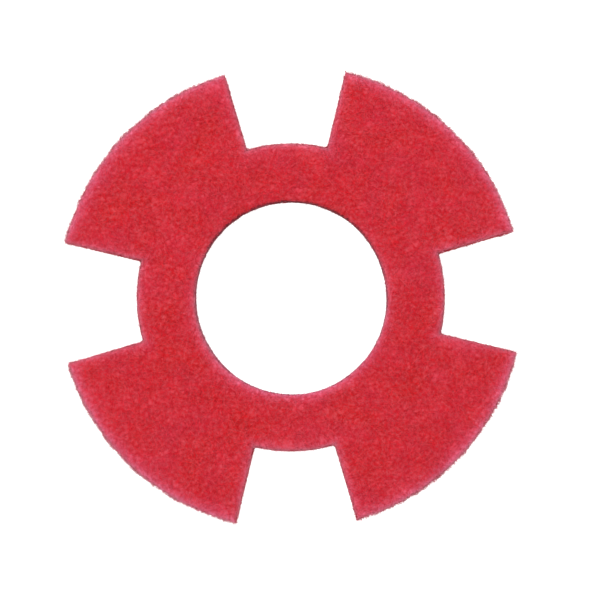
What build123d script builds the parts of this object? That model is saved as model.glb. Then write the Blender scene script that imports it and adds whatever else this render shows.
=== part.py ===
"""Four-lobed floor pad for a rotary floor machine: a disc die-cut from one bonded, non-woven fibre web.

The pad lies on its work face, which is in the XY plane. +Z runs up the hub hole to the driver face,
and +X runs out through the middle of one notch.
"""

import os
from math import cos, radians, sin

from build123d import *

# Driving dimensions, in millimetres and degrees.
PAD_DIAMETER = 230.0  # across the tips of two opposite lobes
PAD_THICKNESS = 20.0
HUB_HOLE_DIAMETER = 95.0  # the driver's centring hub goes in here
ROOT_DIAMETER = 152.4  # across the feet of two opposite notches
LOBE_COUNT = 4
NOTCH_ANGLE = 30.0  # between the two radial walls of a notch
TIP_CORNER_RADIUS = 0.5  # where a notch wall meets the rim
ROOT_CORNER_RADIUS = 1.2  # the bend in the cutting rule at the foot of a notch wall
FACE_EDGE_RADIUS = 0.4  # the fibres spring back a little along the cut edges of both faces
CUTTER_OVERRUN = 5.0  # how far the notch cutter passes the rim

pad_radius = PAD_DIAMETER / 2
root_radius = ROOT_DIAMETER / 2
hub_hole_radius = HUB_HOLE_DIAMETER / 2
half_notch = radians(NOTCH_ANGLE / 2)


def wall_point(radius, side):
    """A point at this radius on a notch wall. side is 1 for the wall towards +Y, and -1 for the other."""
    return (radius * cos(half_notch), side * radius * sin(half_notch))


# The cutter for the notch on +X starts inside the root circle, which is then filled in again.
cutter_start = (hub_hole_radius + root_radius) / 2
cutter_end = (pad_radius + CUTTER_OVERRUN) / cos(half_notch)
notch_cutter = [
    wall_point(cutter_start, -1),
    wall_point(cutter_end, -1),
    wall_point(cutter_end, 1),
    wall_point(cutter_start, 1),
]

# Where the tip corners and the root corners are told apart: halfway up a notch wall.
mid_wall_radius = (root_radius + pad_radius) / 2


def corners_between(sketch, low, high):
    """The sketch's vertices whose distance from the axis is between low and high."""
    return sketch.vertices().filter_by(lambda corner: low < Vector(*corner).length < high)


with BuildPart() as floor_pad:
    with BuildSketch(Plane.XY) as outline:
        Circle(pad_radius)
        with PolarLocations(0, LOBE_COUNT):
            Polygon(*notch_cutter, align=None, mode=Mode.SUBTRACT)
        Circle(root_radius)
        fillet(corners_between(outline, mid_wall_radius, cutter_end), TIP_CORNER_RADIUS)
        fillet(corners_between(outline, cutter_start, mid_wall_radius), ROOT_CORNER_RADIUS)
        Circle(hub_hole_radius, mode=Mode.SUBTRACT)
    extrude(amount=PAD_THICKNESS)
    work_face_edges = floor_pad.edges().group_by(Axis.Z)[0]
    driver_face_edges = floor_pad.edges().group_by(Axis.Z)[-1]
    fillet(work_face_edges + driver_face_edges, FACE_EDGE_RADIUS)

floor_pad.part.label = "floor_pad"

os.makedirs("parts", exist_ok=True)
export_step(floor_pad.part, "parts/floor_pad.step")
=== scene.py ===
"""A red, four-lobed floor pad on a pale table: one web of crimped, bonded fibres, cut out with a die.

All lengths are in metres, in the pad's own frame: it lies on its work face in the XY plane, +Z runs up
the hub hole, and +X runs out through the middle of a notch.
"""

from itertools import product
from math import asin, ceil, pi, radians, tau

import bpy
import numpy as np
from mathutils import Matrix, Vector


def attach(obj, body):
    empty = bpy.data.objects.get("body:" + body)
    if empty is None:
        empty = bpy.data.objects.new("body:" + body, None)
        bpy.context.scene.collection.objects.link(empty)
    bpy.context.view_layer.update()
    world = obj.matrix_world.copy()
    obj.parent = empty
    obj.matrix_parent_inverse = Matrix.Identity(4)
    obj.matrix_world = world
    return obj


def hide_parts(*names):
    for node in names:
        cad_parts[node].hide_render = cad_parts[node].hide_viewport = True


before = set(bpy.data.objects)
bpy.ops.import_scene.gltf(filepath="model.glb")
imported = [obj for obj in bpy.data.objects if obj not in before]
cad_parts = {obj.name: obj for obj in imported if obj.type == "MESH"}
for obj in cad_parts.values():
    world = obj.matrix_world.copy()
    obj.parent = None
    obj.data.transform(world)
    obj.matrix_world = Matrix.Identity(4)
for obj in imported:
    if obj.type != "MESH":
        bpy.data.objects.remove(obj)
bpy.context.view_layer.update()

MM = 0.001

# ---------------------------------------------------------------- the pad's own sizes, from its CAD solid

NOTCHES = 4
QUARTER = tau / NOTCHES
TIP_CORNER = 0.5 * MM
ROOT_CORNER = 1.2 * MM


def corners_of(node):
    """All corners of a CAD node's mesh, as rows of x, y, z."""
    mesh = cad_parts[node].data
    flat = np.empty(3 * len(mesh.vertices), np.float32)
    mesh.vertices.foreach_get("co", flat)
    return flat.reshape(-1, 3).astype(float)


def from_notch(x, y):
    """The angle from a point to the middle of the notch nearest to it, from 0 to half of a quarter turn."""
    return abs((np.arctan2(y, x) + QUARTER / 2) % QUARTER - QUARTER / 2)


solid = corners_of("floor_pad")
solid_radius = np.hypot(solid[:, 0], solid[:, 1])
solid_angle = from_notch(solid[:, 0], solid[:, 1])

BASE = solid[:, 2].min()
TOP = solid[:, 2].max()
RIM = solid_radius.max()
HUB = solid_radius.min()
in_a_lobe = solid_radius > 0.8 * RIM  # well outside the notch roots
HALF_NOTCH = solid_angle[in_a_lobe].min()
ROOT = solid_radius[solid_angle < HALF_NOTCH / 2].max()
RING_MIDDLE = (HUB + ROOT) / 2  # half way from the hub hole to the notch roots

# ---------------------------------------------------------------- how the cut web differs from the solid

RIM_SPREAD = 0.33 * MM  # how far the soft web spreads past the size that it was cut to
ROOT_SPREAD = 0.33 * MM
RIM_SWELLS = ((0.42 * MM, 6 * MM), (0.36 * MM, 2 * MM))  # height and width of the lumps along the rim
HUB_SWELLS = ((0.25 * MM, 20 * MM), (0.06 * MM, 3 * MM))  # and along the hub hole's edge
SWELL_REACH = 6 * MM  # how far from an edge its spread and its lumps are felt
SWELL_UPRIGHT = 0.3  # a lump's width over its height up the wall
HUB_DRIFT = (0.2 * MM, -0.3 * MM)  # how far the hole has come out off the pad's axis
HUB_OVAL = 0.3 * MM  # how much longer the hole's radius is along OVAL_BEARING, and shorter across it
OVAL_BEARING = radians(101)
EDGE_ROLL = 0.95 * MM  # how far the faces roll down at the cut edge
ROLL_REACH = 1.3 * MM  # the roll is halved for every step of this length in from the edge

# ---------------------------------------------------------------- the fibres

LOOSE_DEPTH = 0.24 * MM  # how deep the loose outer fibres lie
FLOOR_CLEARANCE = 0.2 * MM  # between the floor and the lowest fibres

STRAND_RADIUS = 0.125 * MM
STRAND_POINTS = 6
STRAND_LENGTH = (5 * MM, 9 * MM)  # the least and the most, here and in the next four
CRIMP = (0.15 * MM, 0.55 * MM)  # how far a strand waves to each side
CRIMP_WAVE = (3.4 * MM, 6.5 * MM)  # from crest to crest
LIFT = (0.02 * MM, 0.12 * MM)  # how far it waves up and down
THICKNESS = (0.75, 1.25)  # times the radius
LIFT_WAVE = 1.6  # length of a wave up and down, over the crimp's
BOW = 12  # for each metre: a bow is about this times the square of the distance from the strand's middle
TRIM = 0.8  # the share of its length that a strand keeps each time it is shortened
TRIMS = 12
TUBE_SIDES = 3

FACE_STRANDS = 18500  # on each face
INNER_CHANCE = 0.55  # of keeping a strand that lies far from the cut edges
EDGE_MARGIN = 0.1 * MM  # from the cut edge to the nearest strand's middle
RIM_BAND = 8 * MM  # a strand whose middle is this near the rim is one of the rim's
RIM_REACH = 0.65 * MM  # how far the rim's strands may stand out past it
NOTCH_REACH = 0.2 * MM
HUB_REACH = -0.1 * MM
REACH_LOSS = 0.5 * MM  # how much less than that some of them may

WALL_STRANDS = 0.45 / MM**2  # for each square metre of cut edge
WALL_HEADING = radians(22)  # how far they stray from level
WALL_MARGIN = 0.2 * MM  # from the rolled edge of a face
WALL_SET_BACK = 0.35 * MM  # behind the solid's wall

CUT_ENDS = 0.65 / MM**2  # for each square metre of cut edge
CUT_END_RADIUS = 0.055 * MM
CUT_END_POINTS = 3
CUT_END_CROWDING = 0.4  # towards the two faces, where 1 would be even and 0 would be all at the faces
CUT_END_DEPTH = 0.9 * MM  # how deep in the web they start
CUT_END_SET_BACK = 0.2 * MM  # how far behind the cut edge one that isn't frayed ends
RIM_FRAY = 0.65 * MM  # how much further out they stand on average, if MOST_FRAY didn't stop some of them
CUT_FRAY = 0.18 * MM  # and the same in the notches and the hub hole
MOST_FRAY = 1.3 * MM
CUT_END_LEAN = 0.5 * MM  # how far the tips lean along the edge
CUT_END_RISE = 0.25 * MM  # and up or down

# ---------------------------------------------------------------- the outline

ARC_POINTS = 48
HUB_POINTS = 720


def inset(x, y):
    """How far a point lies in from the cut edge, negative outside.

    It is the least of the distances from the rim, from the hub hole and from the notch, which is the
    wedge between two radial walls, outside the root circle.
    """
    radius = np.hypot(x, y)
    from_wall = radius * np.sin(from_notch(x, y) - HALF_NOTCH)
    from_notch_edge = np.maximum(ROOT - radius, from_wall)
    return np.minimum(np.minimum(RIM - radius, radius - HUB), from_notch_edge)


def rolled(x, y):
    """How far the faces roll down: EDGE_ROLL at the cut edge, halved for every ROLL_REACH in from it."""
    return EDGE_ROLL * 0.5 ** (np.maximum(inset(x, y), 0) / ROLL_REACH)


def outer_outline():
    """The outline round the lobes and notches: rows of x, y and the outward normal's x, y, and their lengths.

    A row's length is how far along the outline it stands. A quarter is eight arcs, each the radius and
    bearing of its centre, its own signed radius, and the angles between which its normal turns: half a
    root arc, the root corner, the tip corner and half of the rim, and the same mirrored. Straight notch
    walls join them up.
    """
    root_end = HALF_NOTCH - asin(ROOT_CORNER / (ROOT + ROOT_CORNER))
    rim_start = HALF_NOTCH + asin(TIP_CORNER / (RIM - TIP_CORNER))
    wall_normal = HALF_NOTCH - radians(90)
    half = [
        (0, 0, ROOT, 0, root_end),
        (ROOT + ROOT_CORNER, root_end, -ROOT_CORNER, root_end, wall_normal),
        (RIM - TIP_CORNER, rim_start, TIP_CORNER, wall_normal, rim_start),
        (0, 0, RIM, rim_start, QUARTER / 2),
    ]
    mirrored = [(c, QUARTER - a, r, QUARTER - end, QUARTER - start) for c, a, r, start, end in reversed(half)]
    rows = []
    for turn in range(NOTCHES):
        for centre, bearing, radius, start, end in half + mirrored:
            normal = np.linspace(start, end, ARC_POINTS) + turn * QUARTER
            bearing = bearing + turn * QUARTER
            x = centre * np.cos(bearing) + radius * np.cos(normal)
            y = centre * np.sin(bearing) + radius * np.sin(normal)
            rows.append(np.stack([x, y, np.cos(normal), np.sin(normal)], axis=1))
    rows = np.concatenate(rows)
    step = np.hypot(*np.diff(rows[:, :2], axis=0).T)
    return rows, np.concatenate([[0], np.cumsum(step)])


def hub_outline():
    """The hub hole's edge, like outer_outline: a circle whose outward normal points at its centre."""
    angle = np.linspace(0, tau, HUB_POINTS)
    c, s = np.cos(angle), np.sin(angle)
    return np.stack([HUB * c, HUB * s, -c, -s], axis=1), HUB * angle


def bend_round(outline, along, height, out):
    """Wraps a flat sheet round an outline: along is a length along it, out a distance past the cut edge.

    Between two rows the place and the normal are blended, and the normal is made one long again.
    """
    rows, lengths = outline
    along = along % lengths[-1]
    x, y, normal_x, normal_y = (np.interp(along, lengths, column) for column in rows.T)
    size = np.hypot(normal_x, normal_y)
    return np.stack([x + out * normal_x / size, y + out * normal_y / size, height], axis=-1)


# ---------------------------------------------------------------- making meshes

def lumps(points, cell, seed):
    """Smooth random lumps, from -1 to 1, for rows of points.

    Random numbers stand on a cubic lattice of this cell, which is a little wider than the pad. A point takes
    the mean of the eight round it, weighted along each axis by 3t^2 - 2t^3 of its place t in the cell.
    """
    half_width = 1.1 * RIM
    place = (points + half_width) / cell
    corner = np.floor(place).astype(int)
    t = place - corner
    weight = t * t * (3 - 2 * t)
    cells = ceil(2 * half_width / cell) + 2
    lattice = np.random.default_rng(seed).uniform(-1, 1, (cells, cells, cells))
    total = np.zeros(len(points))
    for step in product((0, 1), repeat=3):
        share = np.where(step, weight, 1 - weight).prod(axis=1)
        total += share * lattice[tuple((corner + step).T)]
    return total


def uneven(points):
    """Moves points near the cut edges along their radius, because a die cuts soft web unevenly.

    The move is the spread there, plus two sizes of lumps at the rim and the hub hole, times a share: the
    square of a line from 1 at the edge to 0 at SWELL_REACH from it. The hub hole is also a little oval,
    by the cosine of twice the angle from OVAL_BEARING, and a little off the axis.
    """
    flat = points.reshape(-1, 3)
    radius = np.hypot(flat[:, 0], flat[:, 1])
    direction = flat[:, :2] / radius[:, None]
    bearing = np.arctan2(flat[:, 1], flat[:, 0])
    hub_spread = HUB_OVAL * np.cos(2 * (bearing - OVAL_BEARING)) + direction @ HUB_DRIFT
    edges = ((RIM, RIM_SPREAD, RIM_SWELLS), (ROOT, ROOT_SPREAD, ()), (HUB, hub_spread, HUB_SWELLS))
    move = np.zeros(len(flat))
    for edge, spread, swells in edges:
        share = np.clip(1 - abs(radius - edge) / SWELL_REACH, 0, 1) ** 2
        move += share * spread
        at_edge = np.column_stack([edge * direction, SWELL_UPRIGHT * flat[:, 2]])
        for seed, (height, width) in enumerate(swells, start=10):
            move += share * height * lumps(at_edge, width, seed)
    moved = flat.copy()
    moved[:, :2] += direction * move[:, None]
    return moved.reshape(points.shape)


def add_mesh(name, points, faces, attributes):
    """A new object from rows of points, arrays of faces, and values at its points.

    Each array of faces holds faces with the same number of corners.
    """
    mesh = bpy.data.meshes.new(name)
    mesh.vertices.add(len(points))
    mesh.vertices.foreach_set("co", np.ascontiguousarray(points, np.float32).ravel())
    corners = np.concatenate([group.ravel() for group in faces])
    sizes = np.concatenate([np.full(len(group), group.shape[1]) for group in faces])
    mesh.loops.add(len(corners))
    mesh.loops.foreach_set("vertex_index", corners.astype(np.int32))
    mesh.polygons.add(len(sizes))
    starts = np.concatenate([[0], np.cumsum(sizes)[:-1]])
    mesh.polygons.foreach_set("loop_start", starts.astype(np.int32))
    mesh.polygons.foreach_set("use_smooth", np.ones(len(sizes), bool))
    for attribute, values in attributes.items():
        layer = mesh.attributes.new(attribute, "FLOAT", "POINT")
        layer.data.foreach_set("value", np.ascontiguousarray(values, np.float32).ravel())
    mesh.update(calc_edges=True)
    piece = bpy.data.objects.new(name, mesh)
    bpy.context.scene.collection.objects.link(piece)
    return piece


# ---------------------------------------------------------------- how pale and how grey the fibres are, with painted light round the hub hole

LIT_SIDE = radians(272)  # the side of the hub hole where painted light makes the fibres palest
PALEST = 2.4  # the painted paleness there, where the rim's is 1
PALE_POWER = 1.5
RIM_FADE = 1.65 * MM  # nearness is halved for every step of this length in from the rim
CUT_FADE = 1.4 * MM  # and in from the other cut edges
CUT_NEARNESS = 0.6  # nearness at the other cut edges, for a paleness of 1
GREY_FADE = 0.5 * MM
LEAST_GREY = 0.1


def paleness(x, y):
    """1 in the notches and at the rim. Round the hub hole it is painted light: from PALEST on the lit side to
    nothing on the other, as the power PALE_POWER of half of one plus a cosine."""
    round_hub = PALEST * (0.5 + 0.5 * np.cos(np.arctan2(y, x) - LIT_SIDE)) ** PALE_POWER
    return np.where(np.hypot(x, y) < RING_MIDDLE, round_hub, 1)


def nearness(points):
    """How near points are to the cut edge: 1 at the rim, halved for every RIM_FADE in, or CUT_NEARNESS of
    the paleness there at the nearest cut edge, halved for every CUT_FADE in, if that is more. The pink it
    brings is partly paler loose fluff and partly painted sheen, and round the hub hole painted light."""
    x, y = points[..., 0], points[..., 1]
    from_rim = np.maximum(RIM - np.hypot(x, y), 0)
    from_edge = np.maximum(inset(x, y), 0)
    to_rim = 0.5 ** (from_rim / RIM_FADE)
    to_edge = CUT_NEARNESS * paleness(x, y) * 0.5 ** (from_edge / CUT_FADE)
    return np.maximum(to_rim, to_edge)


def fringe(points):
    """How much the fibres are greyed towards a cut edge: 1 at the edge, but round the hub hole it follows the
    painted light, down to LEAST_GREY on the side it leaves dark, and halved for every GREY_FADE in."""
    x, y = points[..., 0], points[..., 1]
    most = np.clip(LEAST_GREY + (1 - LEAST_GREY) * paleness(x, y), 0, 1)
    return most * 0.5 ** (np.maximum(inset(x, y), 0) / GREY_FADE)


# ---------------------------------------------------------------- the web

WEB_INSET = 0.34 * MM  # the solid web lies this far under the outer fibres
EDGE_ROUND = 0.7 * MM  # radius of its edges
WEB_SWELLS = ((0.05 * MM, 2.4 * MM), (0.07 * MM, 7 * MM))  # height and width of the lumps all over it
PLY_RELIEF = 0.22 * MM  # how far the layers stand out and lie back in a cut wall
PLY_WIDTH = 5 * MM
PLY_FLATNESS = 5  # a layer's width over its thickness
COLUMNS = 576  # round the pad, and a multiple of 24, so that a grid line runs along each notch wall
RING_STEPS = 27  # from the hub hole out to the notch roots
LOBE_STEPS = 36  # from there out to the rim
WALL_STEPS = 24
HAIR = 1e-9  # an angle too small to see, for rounding


def web_grid():
    """The web's face as a grid of rings and columns: radius and angle of each crossing.

    A ring is a circle. A column is a radial line, and the lobes' columns are squeezed together a little,
    so that the outermost of them runs at an equal distance from the notch wall.
    """
    ring_radii = np.linspace(HUB + WEB_INSET, ROOT - WEB_INSET, RING_STEPS + 1)
    lobe_radii = np.linspace(ROOT - WEB_INSET, RIM - WEB_INSET, LOBE_STEPS + 1)
    radii = np.concatenate([ring_radii, lobe_radii[1:]])[:, None]
    column = np.arange(COLUMNS)[None, :] * tau / COLUMNS
    from_middle = (column % QUARTER) - QUARTER / 2
    half_lobe = QUARTER / 2 - HALF_NOTCH
    squeeze = np.arcsin(WEB_INSET / np.maximum(radii, ROOT - WEB_INSET))
    in_lobe = abs(from_middle) <= half_lobe + HAIR
    lobe = from_middle * (half_lobe - squeeze) / half_lobe
    side = QUARTER / 2 - (QUARTER / 2 - abs(from_middle)) * (HALF_NOTCH + squeeze) / HALF_NOTCH
    angle = column - from_middle + np.where(in_lobe, lobe, np.sign(from_middle) * side)
    return np.broadcast_to(radii, angle.shape), angle, np.broadcast_to(in_lobe, angle.shape)


def web_boundary(edge_column):
    """The grid crossings round the outline, anticlockwise, as rings and columns.

    For each quarter they run along the root arc, out up one notch wall, round the rim and in down the next.
    """
    per_quarter = COLUMNS // NOTCHES
    outermost = RING_STEPS + LOBE_STEPS
    rings, columns = [], []
    for start in range(0, COLUMNS, per_quarter):
        first, last = start + edge_column, start + per_quarter - edge_column
        up = np.arange(RING_STEPS, outermost)
        rings += [np.full(2 * edge_column, RING_STEPS), up, np.full(last - first, outermost), up[::-1] + 1]
        columns += [np.arange(first - 2 * edge_column, first), np.full(len(up), first)]
        columns += [np.arange(first, last), np.full(len(up), last)]
    return np.concatenate(rings), np.concatenate(columns) % COLUMNS


def wall_faces(top, walls, bottom):
    """Quads from a loop of top corners, down through rows of wall corners, to the bottom corners."""
    rows = np.concatenate([top[None], walls, bottom[None]])
    after = np.roll(rows, -1, axis=1)
    return np.stack([rows[:-1], rows[1:], after[1:], after[:-1]], axis=-1).reshape(-1, 4)


def make_web():
    """The pad's solid core: two faces on the polar grid, joined round the outline and the hub hole by walls.

    A face rolls down gently towards the cut edge, and at the edge itself by a quarter circle. A wall
    stands between the two faces' edges. Every point then moves along its normal by two sizes of lumps,
    and on the walls by flat lumps too, because the web is built up in layers.
    """
    radius, angle, in_lobe = web_grid()
    ring = np.arange(len(radius))[:, None]
    present = in_lobe | (ring <= RING_STEPS)
    count = present.sum()
    index = np.full(present.shape, -1)
    index[present] = np.arange(count)
    x = (radius * np.cos(angle))[present]
    y = (radius * np.sin(angle))[present]
    depth = np.clip(EDGE_ROUND - (inset(x, y) - WEB_INSET), 0, EDGE_ROUND)
    fall = EDGE_ROUND - np.sqrt(EDGE_ROUND**2 - depth**2) + rolled(x, y)
    top = np.stack([x, y, TOP - WEB_INSET - fall], axis=1)
    bottom = np.stack([x, y, BASE + WEB_INSET + fall], axis=1)

    beside = np.roll(index, -1, axis=1)
    cells = np.stack([index[:-1], index[1:], beside[1:], beside[:-1]], axis=-1)
    lobe_cells = (in_lobe & np.roll(in_lobe, -1, axis=1))[:-1]
    whole = (cells >= 0).all(axis=-1) & ((ring[:-1] < RING_STEPS) | lobe_cells)
    top_faces = cells[whole]
    bottom_faces = top_faces[:, ::-1] + count

    hub_loop = index[0][::-1]
    outer_loop = index[web_boundary(round(HALF_NOTCH / tau * COLUMNS))]
    points, faces = [top, bottom], [top_faces, bottom_faces]
    used = 2 * count
    share = np.linspace(0, 1, WALL_STEPS + 1)[1:-1, None, None]
    for loop in (hub_loop, outer_loop):
        wall = top[loop] * (1 - share) + bottom[loop] * share
        rows = used + np.arange(wall.size // 3).reshape(wall.shape[:2])
        points.append(wall.reshape(-1, 3))
        faces.append(wall_faces(loop, rows, loop + count))
        used += rows.size
    points = np.concatenate(points)
    on_wall = np.arange(len(points)) >= 2 * count
    by_hub = np.hypot(points[:, 0], points[:, 1]) < RING_MIDDLE
    attributes = {
        "edge": nearness(points),
        "fringe": fringe(points),
        # the walls take darker reds in web_finish: painted shade, darkest in the hub hole
        "cut": on_wall,
        "hub_cut_shade": on_wall & by_hub,
    }
    web = add_mesh("fibre_web", points, faces, attributes)

    normals = np.empty(3 * len(points), np.float32)
    web.data.vertices.foreach_get("normal", normals)
    move = PLY_RELIEF * on_wall * lumps(points * (1, 1, PLY_FLATNESS), PLY_WIDTH, seed=3)
    for seed, (height, width) in enumerate(WEB_SWELLS, start=1):
        move += height * lumps(points, width, seed)
    points = uneven(points + move[:, None] * normals.reshape(-1, 3))
    web.data.vertices.foreach_set("co", points.astype(np.float32).ravel())
    web.data.update()
    return web


# ---------------------------------------------------------------- strands

def strand_shapes(rng, count, spread):
    """Random numbers for each strand's shape. spread is how far its heading strays from the first axis."""
    column = (count, 1)
    return {
        "length": rng.uniform(*STRAND_LENGTH, column),
        "heading": rng.normal(0, 1, column) * spread,
        "bow": rng.normal(0, 1, column) * BOW,
        "crimp": rng.uniform(*CRIMP, column),
        "wave": rng.uniform(*CRIMP_WAVE, column),
        "phase": rng.uniform(0, tau, column),
        "lift": rng.uniform(*LIFT, column),
        "lift_phase": rng.uniform(0, tau, column),
    }


def strand_paths(shape, scale):
    """Points along each strand, as distances along, across and up from its middle.

    It runs straight along its heading, plus a parabola's bow and a sine's crimp sideways, and plus a
    slower sine up and down. scale shortens it.
    """
    run = np.linspace(-0.5, 0.5, STRAND_POINTS)[None, :] * shape["length"] * scale
    side = shape["bow"] * run**2 + shape["crimp"] * np.sin(tau * run / shape["wave"] + shape["phase"])
    up = shape["lift"] * np.sin(tau * run / (LIFT_WAVE * shape["wave"]) + shape["lift_phase"])
    c, s = np.cos(shape["heading"]), np.sin(shape["heading"])
    return c * run - s * side, s * run + c * side, up


def shortened(shape, strays):
    """The scale that keeps each strand in bounds: while any of its points strays, it is trimmed again."""
    scale = np.ones_like(shape["length"])
    for _ in range(TRIMS):
        bad = strays(*strand_paths(shape, scale)).any(axis=1, keepdims=True)
        scale = np.where(bad, TRIM * scale, scale)
    return scale


def add_strands(name, paths, radius, rng):
    """Closed tubes along rows of points, each with a random tone, and with its nearness and fringe.

    Every ring stands across the strand's direction, and its first side lies across the axis that
    the strand is least in line with.
    """
    count, steps = paths.shape[:2]
    along = np.gradient(paths, axis=1)
    along /= np.linalg.norm(along, axis=-1, keepdims=True)
    chord = abs(paths[:, -1] - paths[:, 0])
    across_axis = np.eye(3)[chord.argmin(axis=1)][:, None]
    side = np.cross(along, across_axis)
    side /= np.linalg.norm(side, axis=-1, keepdims=True)
    other = np.cross(side, along)
    thickness = radius * rng.uniform(*THICKNESS, (count, 1, 1, 1))
    corner_turn = np.arange(TUBE_SIDES)[None, None, :, None] * tau / TUBE_SIDES
    turn = rng.uniform(0, tau, (count, 1, 1, 1)) + corner_turn
    ring = np.cos(turn) * side[:, :, None] - np.sin(turn) * other[:, :, None]
    points = paths[:, :, None] + thickness * ring

    index = np.arange(count * steps * TUBE_SIDES).reshape(count, steps, TUBE_SIDES)
    after = np.roll(index, -1, axis=2)
    sides = np.stack([index[:, :-1], after[:, :-1], after[:, 1:], index[:, 1:]], axis=-1)
    ends = np.concatenate([index[:, 0, ::-1], index[:, -1]])
    attributes = {
        "tone": np.broadcast_to(rng.uniform(0, 1, (count, 1)), (count, steps * TUBE_SIDES)),
        "edge": np.repeat(nearness(paths), TUBE_SIDES, axis=1),
        "fringe": np.repeat(fringe(paths), TUBE_SIDES, axis=1),
    }
    return add_mesh(name, points.reshape(-1, 3), [sides.reshape(-1, 4), ends], attributes)


def scatter_on_face(rng, count):
    """Random places on a face: even over the ring from hub hole to rim, then only those inside the outline.

    Some are dropped by chance, and fewer of them near the cut edges, where the fibres lie closer.
    """
    tries = 4 * count
    radius = np.sqrt(rng.uniform(HUB**2, RIM**2, tries))
    angle = rng.uniform(0, tau, tries)
    x, y = radius * np.cos(angle), radius * np.sin(angle)
    chance = INNER_CHANCE + (1 - INNER_CHANCE) * nearness(np.stack([x, y], axis=-1))
    kept = np.flatnonzero((inset(x, y) > EDGE_MARGIN) & (rng.uniform(0, 1, tries) < chance))[:count]
    return x[kept, None], y[kept, None]


def face_strands(rng, outermost, inwards):
    """Strands that lie every way on one face. outermost is its height, and inwards, 1 or -1, is into the web.

    They stand out furthest past the rim, less past a notch wall, and not at all into the hub hole.
    """
    x, y = scatter_on_face(rng, FACE_STRANDS)
    shape = strand_shapes(rng, FACE_STRANDS, spread=pi)
    radius = np.hypot(x, y)
    reach = np.select([radius > RIM - RIM_BAND, radius > RING_MIDDLE], [RIM_REACH, NOTCH_REACH], HUB_REACH)
    proud = reach - rng.uniform(0, REACH_LOSS, (FACE_STRANDS, 1))
    scale = shortened(shape, lambda along, across, up: inset(x + along, y + across) < -proud)
    along, across, up = strand_paths(shape, scale)
    depth = rng.uniform(0, LOOSE_DEPTH, (FACE_STRANDS, 1)) + shape["lift"]
    x, y = x + along, y + across
    return np.stack([x, y, outermost + inwards * (depth + up + rolled(x, y))], axis=-1)


def scatter_along_edge(rng, outline, density):
    """Random lengths along an outline, as many as its cut edge holds at this density."""
    length = outline[1][-1]
    count = round(length * (TOP - BASE) * density)
    return count, rng.uniform(0, length, (count, 1))


def wall_strands(rng, outline):
    """Strands that lie mostly level in a cut edge, because the web is laid down in layers."""
    count, place = scatter_along_edge(rng, outline, WALL_STRANDS)
    low = BASE + EDGE_ROLL + WALL_MARGIN
    high = TOP - EDGE_ROLL - WALL_MARGIN
    height = rng.uniform(low, high, (count, 1))
    shape = strand_shapes(rng, count, spread=WALL_HEADING)

    def strays(along, across, up):
        return (height + across < low) | (height + across > high)

    along, across, up = strand_paths(shape, shortened(shape, strays))
    depth = rng.uniform(0, LOOSE_DEPTH, (count, 1)) + WALL_SET_BACK
    return bend_round(outline, place + along, np.clip(height + across, low, high), up - depth)


def cut_ends(rng, outline):
    """Fine, short fibre ends that lean out of a cut edge, and further out at the rim, where it has frayed.

    They are densest next to the two faces. Their tips stand out by an exponential chance, up to
    MOST_FRAY, and lean and rise with the square of the way along the fibre.
    """
    count, place = scatter_along_edge(rng, outline, CUT_ENDS)
    up_wall = rng.beta(CUT_END_CROWDING, CUT_END_CROWDING, (count, 1))
    height = BASE + EDGE_ROLL + up_wall * (TOP - BASE - 2 * EDGE_ROLL)
    run = np.linspace(0, 1, CUT_END_POINTS)[None, :]
    foot = bend_round(outline, place, height, 0)
    at_rim = np.hypot(foot[..., 0], foot[..., 1]) > RIM - TIP_CORNER
    fray = np.where(at_rim, RIM_FRAY, CUT_FRAY) * rng.exponential(1, (count, 1))
    proud = np.minimum(fray, MOST_FRAY) - CUT_END_SET_BACK
    out = run * (CUT_END_DEPTH + proud) - CUT_END_DEPTH
    lean = rng.normal(0, CUT_END_LEAN, (count, 1)) * run**2
    rise = rng.normal(0, CUT_END_RISE, (count, 1)) * run**2
    return bend_round(outline, place + lean, np.clip(height + rise, BASE + FLOOR_CLEARANCE, TOP), out)


# ---------------------------------------------------------------- finishes

class Value:
    """A number in a finish, taken from a node's socket. Python's operators on it add Math nodes."""

    def __init__(self, finish, socket):
        self.finish = finish
        self.socket = socket

    def maths(self, operation, *values):
        return self.finish.node("Math", {"operation": operation}, dict(enumerate(values)))

    def __add__(self, other):
        return self.maths("ADD", self, other)

    def __sub__(self, other):
        return self.maths("SUBTRACT", self, other)

    def __rsub__(self, other):
        return self.maths("SUBTRACT", other, self)

    def __mul__(self, other):
        return self.maths("MULTIPLY", self, other)

    __radd__ = __add__
    __rmul__ = __mul__


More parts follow.
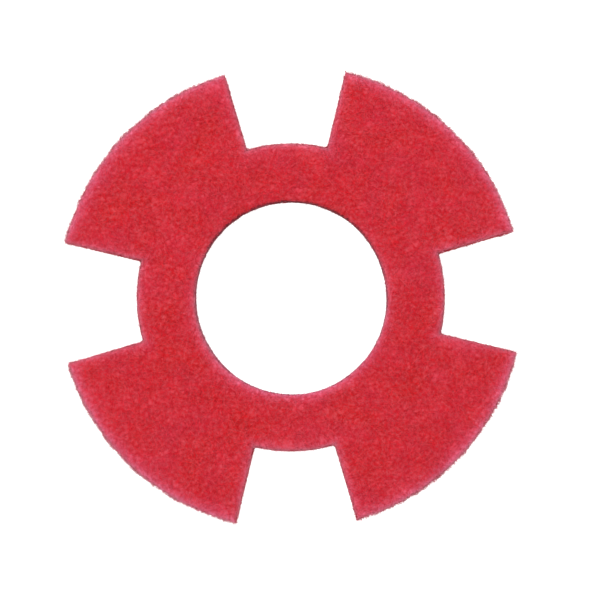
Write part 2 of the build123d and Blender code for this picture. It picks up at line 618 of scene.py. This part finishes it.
class Finish:
    """A material in the making."""

    def __init__(self, name):
        self.material = bpy.data.materials.new(name)
        self.material.use_nodes = True
        self.tree = self.material.node_tree
        self.shader = self.tree.nodes["Principled BSDF"]

    def node(self, kind, settings, sockets, output=0):
        """Adds a node of this kind, sets it up, feeds its sockets values or links, and returns an output."""
        made = self.tree.nodes.new("ShaderNode" + kind)
        for key, value in settings.items():
            setattr(made, key, value)
        for key, value in sockets.items():
            self.feed(made.inputs[key], value)
        return Value(self, made.outputs[output])

    def feed(self, socket, value):
        """Links a Value to a socket, or sets the socket to a plain number, colour or vector."""
        if isinstance(value, Value):
            self.tree.links.new(value.socket, socket)
        else:
            socket.default_value = value

    def on_shader(self, **sockets):
        """Feeds the shader's sockets, which are named with _ for each space."""
        for key, value in sockets.items():
            self.feed(self.shader.inputs[key.replace("_", " ")], value)

    def place(self):
        """A point's place in its object's own axes."""
        return self.node("TexCoord", {}, {}, output="Object")

    def noise(self, place, scale, detail=2.0, stretch=(1.0, 1.0, 1.0)):
        """Smooth noise from about 0.3 to 0.7. scale is in cells for each metre, before the stretch."""
        stretched = self.node("Mapping", {}, {"Vector": place, "Scale": stretch})
        return self.node("TexNoise", {}, {"Vector": stretched, "Scale": scale, "Detail": detail})

    def attribute(self, name):
        """A value that the mesh has at its points, or 0 if it has none of this name."""
        return self.node("Attribute", {"attribute_name": name}, {}, output="Fac")

    def clamped(self, value):
        return self.node("Clamp", {}, {"Value": value})

    def blend(self, share, first, second):
        """From the first colour to the second, as share goes from 0 to 1."""
        sockets = {"Factor": share, 6: first, 7: second}
        return self.node("Mix", {"data_type": "RGBA"}, sockets, output=2)

    def bump(self, height, distance, strength):
        sockets = {"Height": height, "Distance": distance, "Strength": strength}
        return self.node("Bump", {}, sockets)


# the web, darker than the strands as painted shade in the gaps between them, from its dark tufts to its light
# ones
SHADE_RED = (0.50, 0.015, 0.021, 1)
WEB_RED = (0.58, 0.081, 0.098, 1)
# the strands on the faces, the same way
DEEP_RED = (0.67, 0.010, 0.017, 1)
BRIGHT_RED = (0.750, 0.083, 0.100, 1)
# what both turn to: in broad patches, near the cut edges, where the pink is partly paler fluff and partly
# painted sheen, and at the very edge
ROSE = (0.62, 0.042, 0.105, 1)
PINK = (0.94, 0.235, 0.425, 1)
GREYED_PINK = (0.52, 0.180, 0.215, 1)
# the cut walls, darkened as painted shade, and the hub hole's, darker still
CUT_SHADE_RED = (0.28, 0.007, 0.014, 1)
HUB_CUT_SHADE_RED = (0.10, 0.003, 0.008, 1)
HUB_CUT_SHADE_LIGHT = (0.28, 0.006, 0.013, 1)
# the frayed ends at the outer edge
DULL_PINK = (0.45, 0.045, 0.068, 1)
PALE_DULL_PINK = (0.65, 0.135, 0.180, 1)

SPECULAR = 0.12
PATCH_CONTRAST = 0.2
TUFT_CONTRAST = 1.4
WEB_LIGHTNESS = 0.25
STRAND_LIGHTNESS = 0.08
TONE_CONTRAST = 0.5
WEB_PINKNESS = 0.38  # the least share of pink at the edge, for the darkest tufts
STRAND_PINKNESS = 0.47
LIGHT_PINKNESS = 0.9  # how much more pink there is in the lightest


def mottling(finish, place):
    """Light and dark tufts about a millimetre across, over broad patches: partly tufts of differing tone and
    partly painted glints on fibre tops and painted shade in the pores between them. It is from about -0.3
    to 0.3, and the web and the fibres over it share it, so that a tuft is light or dark as a whole."""
    patch = finish.noise(place, scale=85, detail=2.0)
    tuft = finish.noise(place, scale=560, detail=1.0)
    return (patch - 0.5) * PATCH_CONTRAST + (tuft - 0.5) * TUFT_CONTRAST


def rosy(finish, place, colour):
    """A colour that is rosier in broad patches, where the dye took differently."""
    patch = finish.noise(place, scale=55, detail=3.0)
    return finish.blend(finish.clamped((patch - 0.35) * 0.8), colour, ROSE)


def web_finish():
    """The matted web under the loose fibres: a darker red, painted shade where it shows between them, with
    a fine tangle in relief.

    Near a cut edge it turns pink, and at the edge itself grey. The cut walls are darker, painted shade, in
    flat layers, and the hub hole's darkest.
    """
    finish = Finish("matted_red_web")
    place = finish.place()
    speckle = finish.noise(place, scale=900, detail=3.0)
    layered = finish.noise(place, scale=260, detail=3.0, stretch=(1, 1, PLY_FLATNESS))
    share = finish.clamped(mottling(finish, place) + WEB_LIGHTNESS)
    dyed = rosy(finish, place, finish.blend(share, SHADE_RED, WEB_RED))
    # Near the cut edges, pink: partly paler loose fluff, partly painted sheen, and round the hub hole painted
    # light.
    pinkness = finish.attribute("edge") * (share * LIGHT_PINKNESS + WEB_PINKNESS)
    pinker = finish.blend(pinkness, dyed, PINK)
    greyed = finish.blend(finish.attribute("fringe"), pinker, GREYED_PINK)
    layer = finish.clamped((layered - 0.35) * 2.5)
    # The cut walls' darker reds are painted shade, the hub hole's the darkest.
    outer_cut_shade = finish.blend(layer, CUT_SHADE_RED, SHADE_RED)
    hub_cut_shade = finish.blend(layer, HUB_CUT_SHADE_RED, HUB_CUT_SHADE_LIGHT)
    cut_shade_colour = finish.blend(finish.attribute("hub_cut_shade"), outer_cut_shade, hub_cut_shade)
    colour = finish.blend(finish.attribute("cut"), greyed, cut_shade_colour)
    relief = finish.bump(speckle + layered * 0.6, distance=0.4 * MM, strength=0.3)
    roughness = 0.62 + speckle * 0.3
    finish.on_shader(Base_Color=colour, Roughness=roughness, Normal=relief, Specular_IOR_Level=SPECULAR)
    return finish.material


def strand_finish(name, dark, light, edge_share):
    """Dyed fibre from a dark red to a light one: each strand has its own tone, and patches differ a little.

    edge_share is how much of the web's pink and grey near the cut edge it takes, from 0 to 1.
    """
    finish = Finish(name)
    place = finish.place()
    fleck = finish.noise(place, scale=900, detail=1.0)
    tone = finish.attribute("tone")
    share = finish.clamped(mottling(finish, place) + tone * tone * TONE_CONTRAST + STRAND_LIGHTNESS)
    dyed = rosy(finish, place, finish.blend(share, dark, light))
    # Near the cut edges, pink: partly paler loose fluff, partly painted sheen, and round the hub hole painted
    # light.
    pinkness = finish.attribute("edge") * edge_share * (share * LIGHT_PINKNESS + STRAND_PINKNESS)
    pinker = finish.blend(finish.clamped(pinkness), dyed, PINK)
    colour = finish.blend(finish.attribute("fringe") * edge_share, pinker, GREYED_PINK)
    finish.on_shader(Base_Color=colour, Roughness=0.5 + fleck * 0.35, Specular_IOR_Level=SPECULAR)
    return finish.material


# ---------------------------------------------------------------- putting the pad together

def settle(piece, material):
    """Gives a piece its finish, and lets it move with the pad."""
    piece.data.materials.append(material)
    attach(piece, "root")


def add_by_quarter(name, paths, material, rng):
    """Strands in four pieces, one for each lobe, so that no piece is too large."""
    middle = paths[:, paths.shape[1] // 2]
    quarter = (np.arctan2(middle[:, 1], middle[:, 0]) % tau // QUARTER).astype(int)
    for lobe in range(NOTCHES):
        settle(add_strands(f"{name}_{lobe + 1}", paths[quarter == lobe], STRAND_RADIUS, rng), material)


def make_pad():
    """The web, then the strands on both faces and in the cut edges, then the cut ends."""
    web = make_web()
    settle(web, web_finish())
    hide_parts("floor_pad")

    face_finish = strand_finish("dyed_fibre_face", DEEP_RED, BRIGHT_RED, edge_share=1.0)
    # The fibres in the cut edges run up from painted shade: the walls' dark red, and the hub hole's darker
    # one.
    wall_finish = strand_finish("shaded_fibre_cut_edge", CUT_SHADE_RED, DEEP_RED, edge_share=0.0)
    end_finish = strand_finish("frayed_fibre_ends", DULL_PINK, PALE_DULL_PINK, edge_share=0.0)
    hub_finish = strand_finish("shaded_fibre_hub_edge", HUB_CUT_SHADE_RED, HUB_CUT_SHADE_LIGHT, edge_share=0.35)
    rng = np.random.default_rng(20)
    for face, outermost, inwards in (("driver_face", TOP, -1), ("work_face", BASE + FLOOR_CLEARANCE, 1)):
        add_by_quarter(f"{face}_fibres", uneven(face_strands(rng, outermost, inwards)), face_finish, rng)
    outer, hub = outer_outline(), hub_outline()
    add_by_quarter("outer_edge_fibres", uneven(wall_strands(rng, outer)), wall_finish, rng)
    settle(add_strands("hub_edge_fibres", uneven(wall_strands(rng, hub)), STRAND_RADIUS, rng), hub_finish)
    for edge, outline, finish in (("outer", outer, end_finish), ("hub", hub, hub_finish)):
        paths = uneven(cut_ends(rng, outline))
        settle(add_strands(f"{edge}_edge_cut_ends", paths, CUT_END_RADIUS, rng), finish)


# ---------------------------------------------------------------- table, light and camera

WHITE = (1, 1, 1, 1)
TABLE_REACH = 6.0  # from the pad's axis to each edge of the table
TABLE_GREY = (0.43, 0.43, 0.43, 1)
TABLE_PALE_GREY = (0.47, 0.47, 0.47, 1)
TABLE_GLOW = 0.95
SURROUND_STRENGTH = 1.05
LAMP_PLACE = (-0.7, 1.3, 1.7)
LAMP_WIDTH = 1.2
LAMP_ENERGY = 24


def make_table():
    """A wide, flat table top, which glows so that it looks white right up to the pad."""
    half = TABLE_REACH
    corners = np.array([(-half, -half, 0), (half, -half, 0), (half, half, 0), (-half, half, 0)])
    table = add_mesh("table_top", corners, [np.array([[0, 1, 2, 3]])], {})
    finish = Finish("pale_table")
    grain = finish.noise(finish.place(), scale=40, detail=2.0)
    colour = finish.blend(grain, TABLE_GREY, TABLE_PALE_GREY)
    finish.on_shader(Base_Color=colour, Roughness=0.9, Specular_IOR_Level=0.1)
    finish.on_shader(Emission_Color=WHITE, Emission_Strength=TABLE_GLOW)
    table.data.materials.append(finish.material)


def make_light():
    """A white surround, and a large soft lamp overhead."""
    world = bpy.data.worlds.new("white_surround")
    world.use_nodes = True
    surround = world.node_tree.nodes["Background"]
    surround.inputs["Color"].default_value = WHITE
    surround.inputs["Strength"].default_value = SURROUND_STRENGTH
    bpy.context.scene.world = world
    lamp = bpy.data.lights.new("overhead_lamp", "AREA")
    lamp.shape = "DISK"
    lamp.size = LAMP_WIDTH
    lamp.energy = LAMP_ENERGY
    overhead = bpy.data.objects.new("overhead_lamp", lamp)
    overhead.location = LAMP_PLACE
    overhead.rotation_euler = Vector(overhead.location).to_track_quat("Z", "Y").to_euler()
    bpy.context.scene.collection.objects.link(overhead)


CAMERA_HEIGHT = 2.1  # above the driver face
CAMERA_ASIDE = Vector((24 * MM, -60 * MM, 0))  # from the pad's axis
AIM_ASIDE = Vector((4.63 * MM, -1.46 * MM, 0))  # the middle of the view, on the driver face
VIEW_WIDTH = 296.8 * MM  # on the driver face
PAD_TURN = radians(1.45)  # how far the pad is turned in the view
SENSOR_WIDTH = 36
SIGHT_LIMIT = 20


def make_camera():
    """Looks down at the driver face from just off the pad's axis, with the pad turned a little."""
    camera = bpy.data.objects.new("camera", bpy.data.cameras.new("camera"))
    camera.data.sensor_width = SENSOR_WIDTH
    camera.data.lens = SENSOR_WIDTH * CAMERA_HEIGHT / VIEW_WIDTH
    camera.data.clip_end = SIGHT_LIMIT
    view_turn = Matrix.Rotation(-PAD_TURN, 3, "Z")
    place = view_turn @ CAMERA_ASIDE + Vector((0, 0, TOP + CAMERA_HEIGHT))
    aim = view_turn @ AIM_ASIDE + Vector((0, 0, TOP))
    backwards = (place - aim).normalized()
    right = (view_turn @ Vector((0, 1, 0))).cross(backwards).normalized()
    up = backwards.cross(right)
    camera.matrix_world = Matrix.Translation(place) @ Matrix((right, up, backwards)).transposed().to_4x4()
    bpy.context.scene.collection.objects.link(camera)
    bpy.context.scene.camera = camera


make_camera()
make_pad()
make_table()
make_light()
bpy.context.scene.view_settings.view_transform = "Standard"
